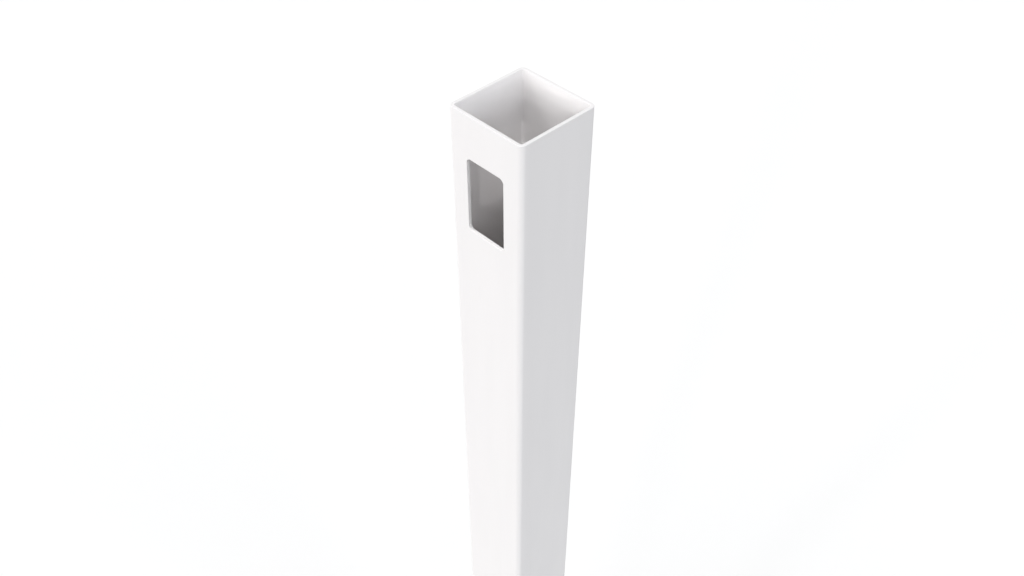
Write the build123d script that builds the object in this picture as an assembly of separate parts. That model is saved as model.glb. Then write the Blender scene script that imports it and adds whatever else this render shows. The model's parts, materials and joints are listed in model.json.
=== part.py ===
from build123d import *
import os

# A routed PVC fence post: one length of extruded square tube, sawn square at both ends, with a
# mortise for each of two rails routed through one face. It is an end post, so its other three
# faces are plain. All sizes are in millimetres.
#
# The post stands as it does in the fence. The origin is the middle of its lower end, +Z runs up
# the post, and the routed face looks along -Y.

# Extruded tube
post_width = 101.6
wall = 3.81
outer_corner_radius = 6.35
inner_corner_radius = 2.54

# Lengths above and below the ground
fence_height = 1219.2
buried_length = 609.6

# Rails that the mortises take, and the room left round them
rail_width = 50.8
rail_height = 88.9
rail_clearance = 0.6

# Places of the rails: from the top end down to the upper rail, and from the ground up to the lower
upper_rail_drop = 50.8
lower_rail_lift = 101.6

# Radius that the router bit leaves in the corners of a mortise
router_radius = 5.5

# Edges taken off by hand after the saw and after the router
saw_edge_break = 0.4
router_edge_break = 0.3

# Sizes that follow from those above
post_length = fence_height + buried_length
bore_width = post_width - 2 * wall
routed_face_y = -post_width / 2
mortise_width = rail_width + 2 * rail_clearance
mortise_height = rail_height + 2 * rail_clearance
upper_rail_centre = post_length - upper_rail_drop - rail_height / 2
lower_rail_centre = buried_length + lower_rail_lift + rail_height / 2


def square_tube():
    """The extrusion: a rounded square outside and its hollow, swept up the whole length."""
    outside = RectangleRounded(post_width, post_width, outer_corner_radius)
    hollow = RectangleRounded(bore_width, bore_width, inner_corner_radius)
    return extrude(outside - hollow, amount=post_length)


def router_cut(rail_centre):
    """What the router takes out for one rail: a rounded slot through the routed wall alone."""
    face = Plane(origin=(0, routed_face_y, rail_centre), x_dir=(1, 0, 0), z_dir=(0, -1, 0))
    slot = face * RectangleRounded(mortise_width, mortise_height, router_radius)
    return extrude(slot, amount=2 * wall, both=True)


def break_sawn_ends(tube):
    """Takes the sharp edge off the outside and the inside of both sawn ends."""
    ends = tube.faces().filter_by(Axis.Z)
    return chamfer(ends.edges(), length=saw_edge_break)


def break_routed_edge(post, rail_centre):
    """Takes the sharp edge off the rim of one mortise, on the face that shows."""
    routed_face = post.faces().filter_by(Axis.Y).sort_by(Axis.Y)[0]
    rims = routed_face.inner_wires()
    rim = min(rims, key=lambda wire: abs(wire.center().Z - rail_centre))
    return chamfer(rim.edges(), length=router_edge_break)


def fence_post():
    """The whole post: the tube, its broken ends, and a mortise for each rail."""
    post = break_sawn_ends(square_tube())
    for rail_centre in (upper_rail_centre, lower_rail_centre):
        post -= router_cut(rail_centre)
        post = break_routed_edge(post, rail_centre)
    return post


os.makedirs("parts", exist_ok=True)
post = fence_post()
post.label = "post"
export_step(post, "parts/post.step")
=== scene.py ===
"""Dresses the routed PVC fence post and sets it up in a plain white studio.

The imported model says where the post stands, how big it is and where its rails go in. Its one solid
is a length of square tube with a mortise for each of two rails. This script stands a finer mesh of
the same tube in its place, gives each kind of surface its own finish, and adds a floor, soft lamps
and a camera that looks down on the open top end.
"""

import json
import logging
import math
from collections.abc import Mapping, Sequence
from dataclasses import dataclass, field
from enum import Enum
from typing import Any, TypeAlias

import bpy
import numpy as np
from mathutils import Euler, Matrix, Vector


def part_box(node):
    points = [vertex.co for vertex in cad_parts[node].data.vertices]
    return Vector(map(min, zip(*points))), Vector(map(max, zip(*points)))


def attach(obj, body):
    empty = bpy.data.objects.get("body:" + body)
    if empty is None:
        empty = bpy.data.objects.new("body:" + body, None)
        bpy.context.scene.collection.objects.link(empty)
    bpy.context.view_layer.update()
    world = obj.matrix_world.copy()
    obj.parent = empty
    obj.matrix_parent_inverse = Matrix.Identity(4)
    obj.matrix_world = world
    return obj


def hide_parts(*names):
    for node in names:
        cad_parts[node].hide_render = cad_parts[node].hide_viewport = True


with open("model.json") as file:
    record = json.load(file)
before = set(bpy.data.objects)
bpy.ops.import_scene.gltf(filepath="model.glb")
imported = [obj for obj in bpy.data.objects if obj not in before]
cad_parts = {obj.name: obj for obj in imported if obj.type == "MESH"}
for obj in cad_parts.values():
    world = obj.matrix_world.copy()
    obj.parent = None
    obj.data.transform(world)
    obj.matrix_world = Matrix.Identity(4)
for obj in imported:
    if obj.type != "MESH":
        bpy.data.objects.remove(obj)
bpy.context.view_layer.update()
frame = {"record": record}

Points: TypeAlias = np.ndarray
Colour: TypeAlias = tuple[float, float, float, float]
Triple: TypeAlias = tuple[float, float, float]

MM = 0.001
PIECE_NAME = "fence_post"
POST_NODE = "post"
POST_BODY = "root"

log = logging.getLogger(PIECE_NAME)


class Making(Enum):
    """How a stretch of the surface was made. The value is its material slot on the mesh."""

    OUTSIDE = 0
    INSIDE = 1
    SAWN = 2
    ROUTED = 3


@dataclass(frozen=True)
class RoundedLoop:
    """A rounded rectangle, kept as the path of its corners' centres.

    An outline of any corner radius lies that radius away from the path, along its normals, so two
    skins that share their corner centres share one loop.
    """

    half_width: float
    half_height: float
    width_cells: int
    height_cells: int
    corner_cells: int

    def walk(self) -> tuple[Points, Points]:
        """The path once round against the clock, from the lower left corner along the lower side.

        Each side is a straight run between two corner centres. At its end the normal alone makes a
        quarter turn on the spot.

        Returns:
            The path's points and its outward normals, one row each for every cell.
        """
        width, height = self.half_width, self.half_height
        corners = np.array([(-width, -height), (width, -height), (width, height), (-width, height)])
        centres, angles = [], []
        for side, cells in enumerate((self.width_cells, self.height_cells) * 2):
            start, end = corners[side], corners[(side + 1) % 4]
            share = np.linspace(0, 1, cells + 1)[:, None]
            turn = np.linspace(0, 90, self.corner_cells + 1)[1:-1]
            facing = 90 * side - 90
            centres += [start + share * (end - start), np.repeat(end[None], len(turn), axis=0)]
            angles += [np.full(cells + 1, facing), facing + turn]
        angle = np.radians(np.concatenate(angles))
        return np.concatenate(centres), np.stack([np.cos(angle), np.sin(angle)], axis=1)


def closed(ring: Points) -> Points:
    """The same ring with its first column repeated at the end."""
    return np.concatenate([ring, ring[:, :1]], axis=1)


class Skin:
    """Grids that share their border points, welded into one closed mesh."""

    WELD = 1e-7

    def __init__(self) -> None:
        """Starts with no grids."""
        self.grids: list[Points] = []
        self.makings: list[Making] = []

    def add(self, points: Points, making: Making) -> None:
        """Adds one grid.

        Args:
            points: The grid, rows by columns by xyz. Its faces point along rows cross columns, so
                rows in reverse order turn it over.
            making: How that surface was made.
        """
        self.grids.append(points)
        self.makings.append(making)

    @staticmethod
    def quads(rows: int, columns: int) -> Points:
        """The cells of a grid.

        Args:
            rows: How many rows of points the grid has.
            columns: How many columns of points it has.

        Returns:
            The four corners of every cell, as indices into the grid's flattened points.
        """
        index = np.arange(rows * columns).reshape(rows, columns)
        corners = (index[:-1, :-1], index[1:, :-1], index[1:, 1:], index[:-1, 1:])
        return np.stack([corner.ravel() for corner in corners], axis=1)

    @staticmethod
    def point_normals(points: Points, quads: Points) -> Points:
        """Normals that keep flat faces flat beside narrow rounded edges.

        The cross product of a face's diagonals is its normal times twice its area. A point's
        normal is the sum of these over the faces round it, made one unit long, so the large faces
        decide.

        Args:
            points: All points, one row each.
            quads: The four point indices of each face.

        Returns:
            One unit normal for each point.
        """
        corners = points[quads]
        weighed = np.cross(corners[:, 2] - corners[:, 0], corners[:, 3] - corners[:, 1])
        total = np.zeros_like(points)
        np.add.at(total, quads.ravel(), np.repeat(weighed, 4, axis=0))
        return total / np.linalg.norm(total, axis=1, keepdims=True)

    def mesh(self, name: str, bend: "Bow") -> bpy.types.Mesh:
        """Welds the grids into one smooth-shaded mesh.

        Points that agree to within a ten thousandth of a millimetre become one point.

        Args:
            name: The mesh's name.
            bend: Moves the welded points to where the walls of a real tube lie.

        Returns:
            The mesh, with one material index for each way of making.
        """
        starts = np.cumsum([0] + [grid[..., 0].size for grid in self.grids[:-1]])
        faces = [self.quads(*grid.shape[:2]) + start for grid, start in zip(self.grids, starts)]
        slots = [np.full(len(f), making.value) for f, making in zip(faces, self.makings)]
        loose = np.concatenate([grid.reshape(-1, 3) for grid in self.grids])
        places = np.round(loose / self.WELD).astype(np.int64)
        _, first, which = np.unique(places, axis=0, return_index=True, return_inverse=True)
        points = bend.apply(loose[first])
        quads = which.ravel()[np.concatenate(faces)]
        mesh = bpy.data.meshes.new(name)
        mesh.from_pydata(points, [], quads)
        mesh.polygons.foreach_set("material_index", np.concatenate(slots).astype(np.int32))
        mesh.polygons.foreach_set("use_smooth", np.ones(len(quads), bool))
        mesh.normals_split_custom_set_from_vertices(self.point_normals(points, quads))
        return mesh


@dataclass(frozen=True)
class Tube:
    """The extruded square tube, in metres. Its inner and outer corners share their centres."""

    width: float
    length: float
    wall: float = 3.81 * MM
    outer_radius: float = 6.35 * MM
    edge_break: float = 0.4 * MM
    flat_cells: int = 24
    corner_cells: int = 12
    edge_cells: int = 4
    rim_cells: int = 4
    level_step: float = 12 * MM

    @property
    def inner_radius(self) -> float:
        """Radius of the corners inside the tube."""
        return self.outer_radius - self.wall

    @property
    def flat(self) -> float:
        """Half the width of a face between its rounded corners."""
        return self.width / 2 - self.outer_radius

    def loop(self) -> RoundedLoop:
        """The path of the corners' centres, seen from above. It starts along the routed face."""
        return RoundedLoop(self.flat, self.flat, self.flat_cells, self.flat_cells, self.corner_cells)

    def around(self, radii: Points, heights: Points) -> Points:
        """A grid round the tube.

        A point is the loop's centre plus the row's radius times the loop's normal, at the row's
        height.

        Args:
            radii: The distance from the loop, for each row.
            heights: The height above the lower end, for each row.

        Returns:
            The grid, rows by columns by xyz, without its closing column.
        """
        centres, normals = self.loop().walk()
        flat_points = centres[None] + radii[:, None, None] * normals[None]
        levels = np.broadcast_to(heights[:, None, None], (*flat_points.shape[:2], 1))
        return np.concatenate([flat_points, levels], axis=2)

    def rim_profile(self) -> tuple[Points, Points]:
        """The section of a sawn end: a quarter round, the flat cut, and a quarter round.

        Returns:
            The radii from the outer skin to the inner one, and the depths below the cut.
        """
        edge = self.edge_break
        turn = np.radians(np.linspace(0, 90, self.edge_cells + 1))
        outer = self.outer_radius - edge + edge * np.cos(turn)
        inner = self.inner_radius + edge - edge * np.cos(turn[::-1])
        across = np.linspace(outer[-1], inner[0], self.rim_cells + 1)[1:-1]
        rounded = edge * (1 - np.sin(turn))
        depths = np.concatenate([rounded, np.zeros_like(across), rounded[::-1]])
        return np.concatenate([outer, across, inner]), depths


@dataclass(frozen=True)
class Bow:
    """How far the walls of a real tube lean in between its stiff corners.

    At the middle of a face the wall lies inward by the depth, and by nothing at its two ends,
    along a raised cosine. Along the post the depth swells and fades by the share, in two waves.
    Their lengths are in metres, and a face's shift is in radians.
    """

    # For each face round the loop: the axis across its wall, the one along it, and the way it looks.
    FACES = ((1, 0, -1), (0, 1, 1), (1, 0, 1), (0, 1, -1))

    flat: float
    depth: float = 0.15 * MM
    share: float = 0.5
    wave_lengths: Sequence[float] = (0.53, 0.31)
    face_shifts: Sequence[float] = (0.0, 1.7, 3.1, 4.4)

    def depth_at(self, heights: Points, face: int) -> Points:
        """The depth of the bow on one face: its depth plus its share of the mean of two sine waves.

        Args:
            heights: The heights above the lower end.
            face: The face's number, in the order of the tube's loop.

        Returns:
            The depth at each height.
        """
        long, short = self.wave_lengths
        shift = self.face_shifts[face]
        waves = np.sin(math.tau * heights / long + shift) + np.sin(math.tau * heights / short - shift)
        return self.depth * (1 + self.share * waves / 2)

    def apply(self, points: Points) -> Points:
        """The points with the bow put in.

        Args:
            points: Places on the straight tube, one row each.

        Returns:
            The moved places.
        """
        moved = points.copy()
        for face, (across, along, way) in enumerate(self.FACES):
            in_wall = (way * points[:, across] > self.flat) & (abs(points[:, along]) < self.flat)
            here = points[in_wall]
            lean = (1 + np.cos(math.pi * here[:, along] / self.flat)) / 2
            moved[in_wall, across] -= way * lean * self.depth_at(here[:, 2], face)
        return moved


@dataclass(frozen=True)
class Mortise:
    """A rounded slot that the router cut through the routed wall for a rail, in metres."""

    centre: float
    rail_width: float = 50.8 * MM
    rail_height: float = 88.9 * MM
    clearance: float = 0.6 * MM
    corner_radius: float = 5.5 * MM
    outer_edge_break: float = 0.3 * MM
    inner_edge_break: float = 0.12 * MM
    margin: float = 16 * MM
    crowding: float = 1.6
    side_cells: int = 32
    half_corner_cells: int = 6
    ring_cells: int = 6
    edge_cells: int = 3
    depth_cells: int = 3

    @property
    def half_width(self) -> float:
        """Half the width of the slot."""
        return self.rail_width / 2 + self.clearance

    @property
    def half_height(self) -> float:
        """Half the height of the slot."""
        return self.rail_height / 2 + self.clearance

    @property
    def low(self) -> float:
        """Where the meshed field round the slot begins."""
        return self.centre - self.half_height - self.margin

    @property
    def high(self) -> float:
        """Where the meshed field round the slot ends."""
        return self.centre + self.half_height + self.margin

    def levels(self) -> Points:
        """The heights of the grid lines that end on the sides of the field."""
        return np.linspace(self.low, self.high, self.side_cells + 1)

    def outline(self, tube: Tube, offsets: Points) -> Points:
        """Outlines of the slot on the routed face.

        A point is the centre of its corner plus the corner radius and the offset, along the
        normal of the loop.

        Args:
            tube: The tube that the slot goes through.
            offsets: How far each outline lies outside the slot's own one.

        Returns:
            Outlines by points by xz.
        """
        corner = 2 * self.half_corner_cells
        straight = self.half_width - self.corner_radius, self.half_height - self.corner_radius
        cells = tube.flat_cells - corner, self.side_cells - corner
        centres, normals = RoundedLoop(*straight, *cells, corner).walk()
        rings = centres[None] + (self.corner_radius + offsets)[:, None, None] * normals[None]
        return rings + np.array([0, self.centre])

    def border(self, tube: Tube) -> Points:
        """The edge of the field, with a point for each of the outline's.

        Its corners face the middles of the slot's corners.

        Args:
            tube: The tube, whose grid lines the border meets.

        Returns:
            Points by xz.
        """
        places = np.linspace(-tube.flat, tube.flat, tube.flat_cells + 1)
        levels = self.levels()
        sides = [
            (places[:-1], np.full(tube.flat_cells, self.low)),
            (np.full(self.side_cells, tube.flat), levels[:-1]),
            (places[:0:-1], np.full(tube.flat_cells, self.high)),
            (np.full(self.side_cells, -tube.flat), levels[:0:-1]),
        ]
        ring = np.concatenate([np.stack(side, axis=1) for side in sides])
        return np.roll(ring, -self.half_corner_cells, axis=0)

    def surround(self, tube: Tube, edge: float, depth: float) -> Points:
        """The flat field between the slot and the border.

        Rows go from the slot's rim to the border in straight lines. A row's share of the way is
        its share of the rows to the power of the crowding, which keeps them close at the rim.

        Args:
            tube: The tube that the slot goes through.
            edge: How far the rim lies outside the slot.
            depth: How far the field lies behind the routed face.

        Returns:
            The grid, rows by columns by xyz.
        """
        rim = self.outline(tube, np.array([edge]))[0]
        share = np.linspace(0, 1, self.ring_cells + 1)[:, None, None] ** self.crowding
        return self.place(tube, rim + share * (self.border(tube) - rim), np.array(depth))

    def jamb(self, tube: Tube) -> Points:
        """The cut through the wall: a quarter round, the straight cut, and a quarter round.

        Args:
            tube: The tube that the slot goes through.

        Returns:
            The grid from the outer face to the inner one, rows by columns by xyz.
        """
        turn = np.radians(np.linspace(0, 90, self.edge_cells + 1))
        outer, inner = self.outer_edge_break, self.inner_edge_break
        straight = np.linspace(outer, tube.wall - inner, self.depth_cells + 1)[1:-1]
        offsets = [outer * (1 - np.sin(turn)), np.zeros_like(straight), inner * (1 - np.cos(turn))]
        depths = [outer * (1 - np.cos(turn)), straight, tube.wall - inner * (1 - np.sin(turn))]
        rings = self.outline(tube, np.concatenate(offsets))
        return self.place(tube, rings, np.concatenate(depths)[:, None])

    @staticmethod
    def place(tube: Tube, rings: Points, depths: Points) -> Points:
        """Rings of xz points as a closed grid of xyz points, at depths behind the routed face."""
        x, z = rings[..., 0], rings[..., 1]
        return closed(np.stack([x, -tube.width / 2 + np.broadcast_to(depths, x.shape), z], axis=2))


class Value:
    """A number that varies over a surface. Arithmetic on it adds Math nodes to its recipe."""

    def __init__(self, recipe: "Recipe", socket: bpy.types.NodeSocket) -> None:
        """Wraps one output socket of a recipe."""
        self.recipe = recipe
        self.socket = socket

    def __add__(self, other: "Value | float") -> "Value":
        """self + other."""
        return self.recipe.maths("ADD", self, other)

    __radd__ = __add__

    def __mul__(self, other: "Value | float") -> "Value":
        """self * other."""
        return self.recipe.maths("MULTIPLY", self, other)

    __rmul__ = __mul__

    def __sub__(self, other: "Value | float") -> "Value":
        """self - other."""
        return self.recipe.maths("SUBTRACT", self, other)

    def __rsub__(self, other: "Value | float") -> "Value":
        """other - self."""
        return self.recipe.maths("SUBTRACT", other, self)

    def __truediv__(self, other: "Value | float") -> "Value":
        """self / other."""
        return self.recipe.maths("DIVIDE", self, other)

    def __rtruediv__(self, other: "Value | float") -> "Value":
        """other / self."""
        return self.recipe.maths("DIVIDE", other, self)

    def between(self, low: float, high: float) -> "Value":
        """0 below low, 1 above high, and a smooth step from one to the other."""
        sockets = {"Value": self, "From Min": low, "From Max": high}
        return self.recipe.value("ShaderNodeMapRange", {"interpolation_type": "SMOOTHSTEP"}, sockets)


class Recipe:
    """A node tree, built up by calls."""

    def __init__(self, owner: bpy.types.Material | bpy.types.World) -> None:
        """Empties the node tree of a material or a world.

        Args:
            owner: The material or the world.
        """
        owner.use_nodes = True
        self.nodes = owner.node_tree.nodes
        self.links = owner.node_tree.links
        self.nodes.clear()

    def node(
        self,
        kind: str,
        settings: Mapping[str, Any] | None = None,
        sockets: Mapping[str | int, Any] | None = None,
    ) -> bpy.types.Node:
        """Adds a node.

        Args:
            kind: The node's type.
            settings: Its own settings, which are set first.
            sockets: Its inputs by name or number: a Value, another node's output, or a constant.

        Returns:
            The node.
        """
        made = self.nodes.new(kind)
        for name, setting in (settings or {}).items():
            setattr(made, name, setting)
        for name, given in (sockets or {}).items():
            source = given.socket if isinstance(given, Value) else given
            if isinstance(source, bpy.types.NodeSocket):
                self.links.new(source, made.inputs[name])
            else:
                made.inputs[name].default_value = source
        return made

    def value(
        self,
        kind: str,
        settings: Mapping[str, Any] | None = None,
        sockets: Mapping[str | int, Any] | None = None,
    ) -> Value:
        """Adds a node, as node does, and wraps its first output."""
        return Value(self, self.node(kind, settings, sockets).outputs[0])

    def maths(self, operation: str, first: Value | float, second: Value | float) -> Value:
        """Adds a Math node for two numbers."""
        return self.value("ShaderNodeMath", {"operation": operation}, {0: first, 1: second})

    def place(self) -> bpy.types.NodeSocket:
        """The point's place on the post, in metres."""
        return self.node("ShaderNodeTexCoord").outputs["Object"]

    def noise(self, cell: Triple, detail: float, seed: Triple = (0, 0, 0)) -> Value:
        """Smooth noise about 0.5.

        Args:
            cell: The size of its lumps along x, y and z, in metres.
            detail: How many finer layers it has.
            seed: Where in the noise the post stands, in lumps.

        Returns:
            The noise as a number from 0 to 1.
        """
        scale = tuple(1 / size for size in cell)
        sockets = {"Vector": self.place(), "Scale": scale, "Location": seed}
        spread = self.node("ShaderNodeMapping", {"vector_type": "POINT"}, sockets)
        inputs = {"Vector": spread.outputs[0], "Scale": 1.0, "Detail": detail}
        return self.value("ShaderNodeTexNoise", {}, inputs)

    def blend(self, share: Value, first: Colour, second: Colour) -> bpy.types.NodeSocket:
        """Mixes two colours.

        Args:
            share: How much of the second colour there is, from 0 to 1.
            first: The colour at 0.
            second: The colour at 1.

        Returns:
            The mixed colour's socket.
        """
        mixed = self.node("ShaderNodeMix", {"data_type": "RGBA"}, {"Factor": share})
        colours = [socket for socket in mixed.inputs if socket.type == "RGBA"]
        colours[0].default_value, colours[1].default_value = first, second
        return next(socket for socket in mixed.outputs if socket.type == "RGBA")


@dataclass(frozen=True)
class Finish:
    """White rigid PVC. Each finish of the post has its own tone and relief on top of that.

    The tone blends the white into the shade and spreads the roughness over its range.
    """

    name: str = "white_pvc"
    white: Colour = (0.777, 0.760, 0.760, 1)
    shade: Colour = (0.767, 0.751, 0.751, 1)
    roughness: float = 0.42
    roughness_range: float = 0.10
    refraction: float = 1.53
    gloss: float = 0.2
    coarse_share: float = 0.6
    tone_edges: tuple[float, float] = (0.35, 0.7)

    def pattern(self, recipe: Recipe) -> tuple[Value, Value]:
        """The tone, from 0 to 1, and the relief, in metres, over the surface."""
        raise NotImplementedError

    def tone(self, coarse: Value, fine: Value) -> Value:
        """Mixes a coarse and a fine pattern by the coarse one's share, and steps between the edges."""
        return (self.coarse_share * coarse + (1 - self.coarse_share) * fine).between(*self.tone_edges)

    def material(self) -> bpy.types.Material:
        """Builds the material. The tone picks the colour and the roughness.

        Returns:
            The material.
        """
        material = bpy.data.materials.new(self.name)
        recipe = Recipe(material)
        tone, relief = self.pattern(recipe)
        bump = recipe.node("ShaderNodeBump", {}, {"Strength": 1.0, "Distance": 1.0, "Height": relief})
        sockets = {
            "Base Color": recipe.blend(tone, self.white, self.shade),
            "Roughness": (tone - 0.5) * self.roughness_range + self.roughness,
            "IOR": self.refraction,
            "Specular IOR Level": self.gloss,
            "Normal": bump.outputs["Normal"],
        }
        shader = recipe.node("ShaderNodeBsdfPrincipled", {}, sockets)
        recipe.node("ShaderNodeOutputMaterial", {}, {"Surface": shader.outputs["BSDF"]})
        return material


@dataclass(frozen=True)
class ExtrudedFinish(Finish):
    """The skin as it comes out of the die: low gloss, with faint lines along the post."""

    name: str = "white_pvc_extruded"
    line_cell: Triple = (1.1 * MM, 1.1 * MM, 900 * MM)
    line_height: float = 0.010 * MM
    ripple_cell: Triple = (24 * MM, 24 * MM, 160 * MM)
    ripple_seed: Triple = (3, 7, 1)
    grain_cell: Triple = (0.35 * MM, 0.35 * MM, 0.9 * MM)
    grain_height: float = 0.0015 * MM
    tone_edges: tuple[float, float] = (0.35, 0.65)

    def pattern(self, recipe: Recipe) -> tuple[Value, Value]:
        """Streaks of tone along the post, on die lines and a fine grain.

        Args:
            recipe: The material's recipe.

        Returns:
            The tone and the relief.
        """
        lines = recipe.noise(self.line_cell, detail=3)
        ripple = recipe.noise(self.ripple_cell, detail=2, seed=self.ripple_seed)
        grain = recipe.noise(self.grain_cell, detail=1)
        return self.tone(ripple, lines), lines * self.line_height + grain * self.grain_height


@dataclass(frozen=True)
class InsideFinish(ExtrudedFinish):
    """The inner skin, which leaves the die without the whiter layer that the outer skin has."""

    name: str = "white_pvc_inside"
    white: Colour = (0.776, 0.758, 0.757, 1)
    shade: Colour = (0.766, 0.749, 0.748, 1)
    roughness: float = 0.5
    ripple_seed: Triple = (8, 2, 5)


@dataclass(frozen=True)
class SawnFinish(Finish):
    """The cut that a circular saw leaves on an end: less glossy, with arcs across the wall, and
    darkened by painted shade.
    """

    name: str = "white_pvc_sawn"
    # White and shade a little darker than the outer skin's: painted shade that dims the sawn ends.
    white: Colour = (0.768, 0.754, 0.754, 1)
    shade: Colour = (0.748, 0.736, 0.736, 1)
    gloss: float = 0.12
    roughness: float = 0.62
    roughness_range: float = 0.12
    blade_radius: float = 127 * MM
    mark_step: float = 0.8 * MM
    mark_height: float = 0.02 * MM
    wander_cell: Triple = (20 * MM, 20 * MM, 20 * MM)
    wander_marks: float = 3
    grain_cell: Triple = (0.25 * MM, 0.25 * MM, 0.25 * MM)
    grain_height: float = 0.008 * MM
    coarse_share: float = 0.5
    tone_edges: tuple[float, float] = (0.3, 0.8)

    def pattern(self, recipe: Recipe) -> tuple[Value, Value]:
        """Rings about the saw's axle, which stands a blade's radius off the post's middle.

        A ring's height is the sine of the distance from the axle, counted in marks. A slow noise
        lets the rings wander.

        Args:
            recipe: The material's recipe.

        Returns:
            The tone and the relief.
        """
        grain = recipe.noise(self.grain_cell, detail=2)
        wander = recipe.noise(self.wander_cell, detail=2)
        parts = recipe.node("ShaderNodeSeparateXYZ", {}, {"Vector": recipe.place()})
        x, y = Value(recipe, parts.outputs["X"]), Value(recipe, parts.outputs["Y"])
        away = recipe.maths("POWER", (x + self.blade_radius) * (x + self.blade_radius) + y * y, 0.5)
        turns = (away / self.mark_step + wander * self.wander_marks) * math.tau
        marks = recipe.value("ShaderNodeMath", {"operation": "SINE"}, {0: turns}) * 0.5 + 0.5
        return self.tone(marks, grain), marks * self.mark_height + grain * self.grain_height


@dataclass(frozen=True)
class RoutedFinish(Finish):
    """The cut that a router bit leaves in a mortise: fine ridges straight through the wall, lightened
    by painted light.
    """

    name: str = "white_pvc_routed"
    # White and shade lighter than the outer skin's: painted light on the sill and jambs, which the
    # slot's head shades.
    white: Colour = (0.797, 0.784, 0.782, 1)
    shade: Colour = (0.777, 0.765, 0.763, 1)
    roughness: float = 0.55
    roughness_range: float = 0.12
    ridge_cell: Triple = (0.45 * MM, 30 * MM, 0.45 * MM)
    ridge_height: float = 0.03 * MM
    grain_cell: Triple = (0.2 * MM, 0.2 * MM, 0.2 * MM)
    grain_height: float = 0.006 * MM

    def pattern(self, recipe: Recipe) -> tuple[Value, Value]:
        """Ridges that vary round the slot and stay the same through the wall.

        Args:
            recipe: The material's recipe.

        Returns:
            The tone and the relief.
        """
        ridges = recipe.noise(self.ridge_cell, detail=1)
        grain = recipe.noise(self.grain_cell, detail=2)
        return self.tone(ridges, grain), ridges * self.ridge_height + grain * self.grain_height


@dataclass
class FencePost:
    """The post: one tube, its two sawn ends and its rail mortises."""

    tube: Tube
    rail_mounts: Sequence[str] = ("lower_rail_mortise", "upper_rail_mortise")
    outside: Finish = field(default_factory=ExtrudedFinish)
    inside: Finish = field(default_factory=InsideFinish)
    sawn: Finish = field(default_factory=SawnFinish)
    routed: Finish = field(default_factory=RoutedFinish)

    def mortises(self) -> list[Mortise]:
        """The mortises from the lower one up, centred on the mounts that the rails go into."""
        heights = {mount["name"]: mount["pos_m"][2] for mount in frame["record"]["mounts"]}
        return [Mortise(heights[name]) for name in self.rail_mounts]

    def stretches(self) -> list[Points]:
        """Heights of the grid lines, in one array for each stretch of the post.

        The stretches between the mortises' fields and the ends have even steps. They alternate
        with the fields' own levels.

        Returns:
            The arrays from the lower end up. Each begins where the last one ends.
        """
        bottom, top = self.tube.edge_break, self.tube.length - self.tube.edge_break
        stretches, start = [], bottom
        for mortise in self.mortises():
            stretches += [self.plain_levels(start, mortise.low), mortise.levels()]
            start = mortise.high
        return [*stretches, self.plain_levels(start, top)]

    def plain_levels(self, start: float, end: float) -> Points:
        """Even levels from start to end, about a step of the tube apart."""
        return np.linspace(start, end, math.ceil((end - start) / self.tube.level_step) + 1)

    def add_skins(self, skin: Skin) -> None:
        """Adds the outer and the inner face of the tube, without the mortises' fields.

        The outer face's rows run down and the inner one's up, so both look away from the wall.

        Args:
            skin: What the grids are added to.
        """
        tube = self.tube
        front = slice(0, tube.flat_cells + 1)
        rest = slice(tube.flat_cells, None)
        stretches = self.stretches()
        whole = np.concatenate([stretches[0], *[levels[1:] for levels in stretches[1:]]])
        sides = (Making.OUTSIDE, tube.outer_radius, -1), (Making.INSIDE, tube.inner_radius, 1)
        for making, radius, way in sides:
            walls = closed(tube.around(np.full(len(whole), radius), whole))
            skin.add(walls[:, rest][::way], making)
            for levels in stretches[::2]:
                wall = tube.around(np.full(len(levels), radius), levels)
                skin.add(wall[:, front][::way], making)

    def add_ends(self, skin: Skin) -> None:
        """Adds the two sawn ends.

        Args:
            skin: What the grids are added to.
        """
        radii, depths = self.tube.rim_profile()
        top = self.tube.around(radii, self.tube.length - depths)
        skin.add(closed(top)[::-1], Making.SAWN)
        skin.add(closed(self.tube.around(radii, depths)), Making.SAWN)

    def add_mortise(self, skin: Skin, mortise: Mortise) -> None:
        """Adds the fields round one mortise, outside and inside, and the cut between them.

        Args:
            skin: What the grids are added to.
            mortise: The mortise.
        """
        tube = self.tube
        outside = mortise.surround(tube, mortise.outer_edge_break, 0)
        inside = mortise.surround(tube, mortise.inner_edge_break, tube.wall)
        skin.add(outside, Making.OUTSIDE)
        skin.add(inside[::-1], Making.INSIDE)
        skin.add(mortise.jamb(tube)[::-1], Making.ROUTED)

    def build(self) -> bpy.types.Object:
        """Builds the whole post as one closed mesh with its four finishes.

        Returns:
            The post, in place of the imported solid.
        """
        skin = Skin()
        self.add_skins(skin)
        self.add_ends(skin)
        for mortise in self.mortises():
            self.add_mortise(skin, mortise)
        post = bpy.data.objects.new(PIECE_NAME, skin.mesh(PIECE_NAME, Bow(self.tube.flat)))
        bpy.context.scene.collection.objects.link(post)
        for finish in (self.outside, self.inside, self.sawn, self.routed):
            post.data.materials.append(finish.material())
        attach(post, POST_BODY)
        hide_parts(POST_NODE)
        log.info("post: %d points, %d faces", len(post.data.vertices), len(post.data.polygons))
        return post


# How wide the lamps look from the post, in degrees, and their tints.
SOFT: float = 24
NARROW: float = 5
NEUTRAL: Triple = (1, 1, 1)
COOL: Triple = (0.972, 1.0, 1.032)


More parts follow.
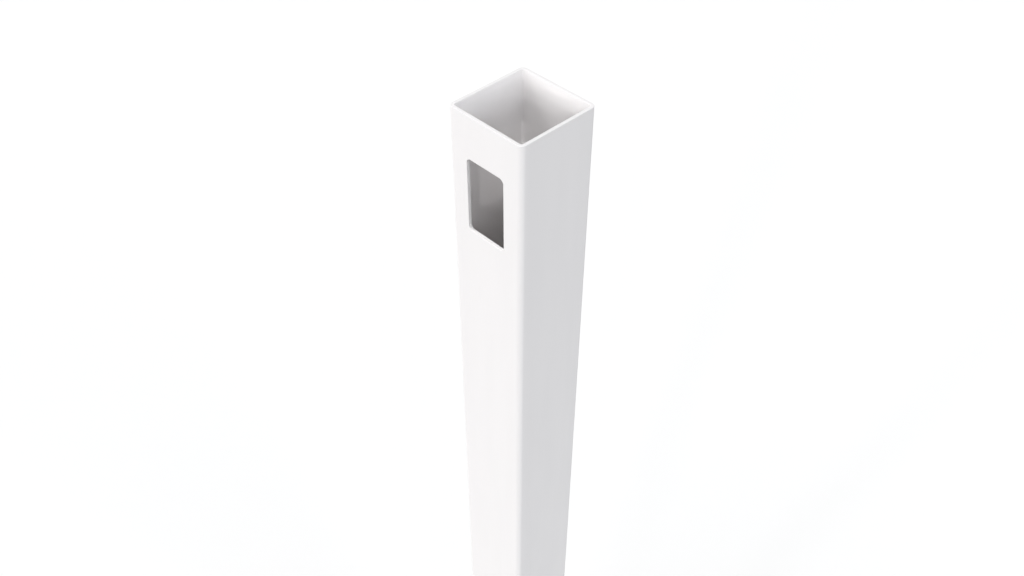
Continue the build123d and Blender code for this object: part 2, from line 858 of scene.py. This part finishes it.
@dataclass(frozen=True)
class Lamp:
    """A lamp so far off that it lights the whole post evenly.

    Its azimuth is 0 on the -Y side and 90 on the +X side. The spread is how wide it looks from the
    post, in degrees, and the strength is the brightness of a white card that faces it.
    """

    name: str
    azimuth: float
    elevation: float
    spread: float
    strength: float
    colour: Triple = NEUTRAL

    def hang(self) -> None:
        """Adds the lamp. At an energy of pi, a white card that faces it renders as white."""
        turn, lift = math.radians(self.azimuth), math.radians(self.elevation)
        level = math.cos(lift)
        away = Vector((math.sin(turn) * level, -math.cos(turn) * level, math.sin(lift)))
        data = bpy.data.lights.new(self.name, "SUN")
        data.angle = math.radians(self.spread)
        data.color = self.colour
        data.energy = self.strength * math.pi
        lamp = bpy.data.objects.new(self.name, data)
        lamp.rotation_euler = away.to_track_quat("Z", "Y").to_euler()
        bpy.context.scene.collection.objects.link(lamp)


@dataclass(frozen=True)
class Studio:
    """A white floor and backdrop, soft lamps, and the camera above the open end.

    The camera's offset is from the middle of the top end, in metres. Its azimuth is 0 on the -Y
    side and 90 on the +X side, and its tilt is down from the level, both in degrees. The lens and
    the sensor are in millimetres.
    """

    top: float
    camera_offset: Triple = (0.5974, -0.5923, 0.5396)
    camera_azimuth: float = 45.92
    camera_tilt: float = 42.81
    lens: float = 36.04
    sensor: float = 36.0
    floor_half: float = 40.0
    floor_bounce: Colour = (0.20, 0.20, 0.20, 1)
    floor_shade: Colour = (0.45, 0.45, 0.45, 1)
    floor_glow: float = 0.470
    lamps: Sequence[Lamp] = (
        Lamp("left_top", -60, 58, SOFT, 0.21),
        Lamp("left_high", -60, 42, SOFT, 0.41),
        Lamp("left_front_low", -27, 12, NARROW, 0.09),
        Lamp("left_front_level", -27, 6, NARROW, 0.18),
        Lamp("front_top", 0, 58, SOFT, 0.34),
        Lamp("front_low", 0, 12, NARROW, 0.155),
        Lamp("right_front_low", 24, 18, NARROW, 0.12),
        Lamp("right_front_level", 34, 6, NARROW, 0.16),
        Lamp("right_front_high", 60, 28, SOFT, 0.14, COOL),
        Lamp("right_top", 90, 42, SOFT, 0.095, COOL),
        Lamp("right_high", 90, 28, SOFT, 0.085, COOL),
        Lamp("right_low", 90, 15, SOFT, 0.20, COOL),
        Lamp("right_back", 120, 15, SOFT, 0.17, COOL),
        Lamp("back", -165, 5, SOFT, 0.45),
        Lamp("left_back", -125, 5, SOFT, 0.27),
    )

    def add_camera(self) -> None:
        """Puts the camera where the photograph was taken from."""
        data = bpy.data.cameras.new("camera")
        data.lens = self.lens
        data.sensor_width = self.sensor
        camera = bpy.data.objects.new("camera", data)
        camera.location = Vector((0, 0, self.top)) + Vector(self.camera_offset)
        turn = math.radians(90 - self.camera_tilt), 0, math.radians(self.camera_azimuth)
        camera.rotation_euler = Euler(turn)
        bpy.context.scene.collection.objects.link(camera)
        bpy.context.scene.camera = camera

    @staticmethod
    def seen(recipe: Recipe) -> Value:
        """Picks out the rays that show the surroundings to the camera, directly or reflected.

        Args:
            recipe: The recipe that asks.

        Returns:
            1 on those rays, and 0 on the ones that light the post.
        """
        path = recipe.node("ShaderNodeLightPath")
        kinds = ["Is Camera Ray", "Is Glossy Ray", "Is Transmission Ray"]
        camera, glossy, through = [Value(recipe, path.outputs[kind]) for kind in kinds]
        return recipe.maths("MINIMUM", camera + glossy + through, 1)

    def add_backdrop(self) -> None:
        """Adds the white backdrop, which is seen but throws no light on the post."""
        world = bpy.data.worlds.new("backdrop")
        recipe = Recipe(world)
        sockets = {"Color": (1, 1, 1, 1), "Strength": self.seen(recipe)}
        glow = recipe.node("ShaderNodeBackground", {}, sockets)
        recipe.node("ShaderNodeOutputWorld", {}, {"Surface": glow.outputs[0]})
        bpy.context.scene.world = world

    def add_floor(self) -> None:
        """Adds the floor, which the camera sees as white with the post's own shadow on it.

        On the rays that light the post it is a plain grey, which throws back little light.
        """
        half = self.floor_half
        corners = [(-half, -half, 0), (half, -half, 0), (half, half, 0), (-half, half, 0)]
        mesh = bpy.data.meshes.new("floor")
        mesh.from_pydata(corners, [], [(0, 1, 2, 3)])
        material = bpy.data.materials.new("floor")
        recipe = Recipe(material)
        bounce = recipe.node("ShaderNodeBsdfDiffuse", {}, {"Color": self.floor_bounce})
        shade = recipe.node("ShaderNodeBsdfDiffuse", {}, {"Color": self.floor_shade})
        glow = recipe.node("ShaderNodeEmission", {}, {"Strength": self.floor_glow})
        shown = recipe.node("ShaderNodeAddShader", {}, {0: shade.outputs[0], 1: glow.outputs[0]})
        surfaces = {0: self.seen(recipe), 1: bounce.outputs[0], 2: shown.outputs[0]}
        mix = recipe.node("ShaderNodeMixShader", {}, surfaces)
        recipe.node("ShaderNodeOutputMaterial", {}, {"Surface": mix.outputs[0]})
        mesh.materials.append(material)
        floor = bpy.data.objects.new("floor", mesh)
        bpy.context.scene.collection.objects.link(floor)

    def set_up(self) -> None:
        """Adds everything and sets the plain view transform."""
        self.add_camera()
        self.add_backdrop()
        self.add_floor()
        for lamp in self.lamps:
            lamp.hang()
        bpy.context.scene.view_settings.view_transform = "Standard"
        log.info("studio: %d lamps", len(self.lamps))


def main() -> None:
    """Builds the post and the studio."""
    logging.basicConfig(level=logging.INFO)
    low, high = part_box(POST_NODE)
    FencePost(Tube(width=high.x - low.x, length=high.z - low.z)).build()
    Studio(top=high.z).set_up()


if __name__ == "__main__":
    main()
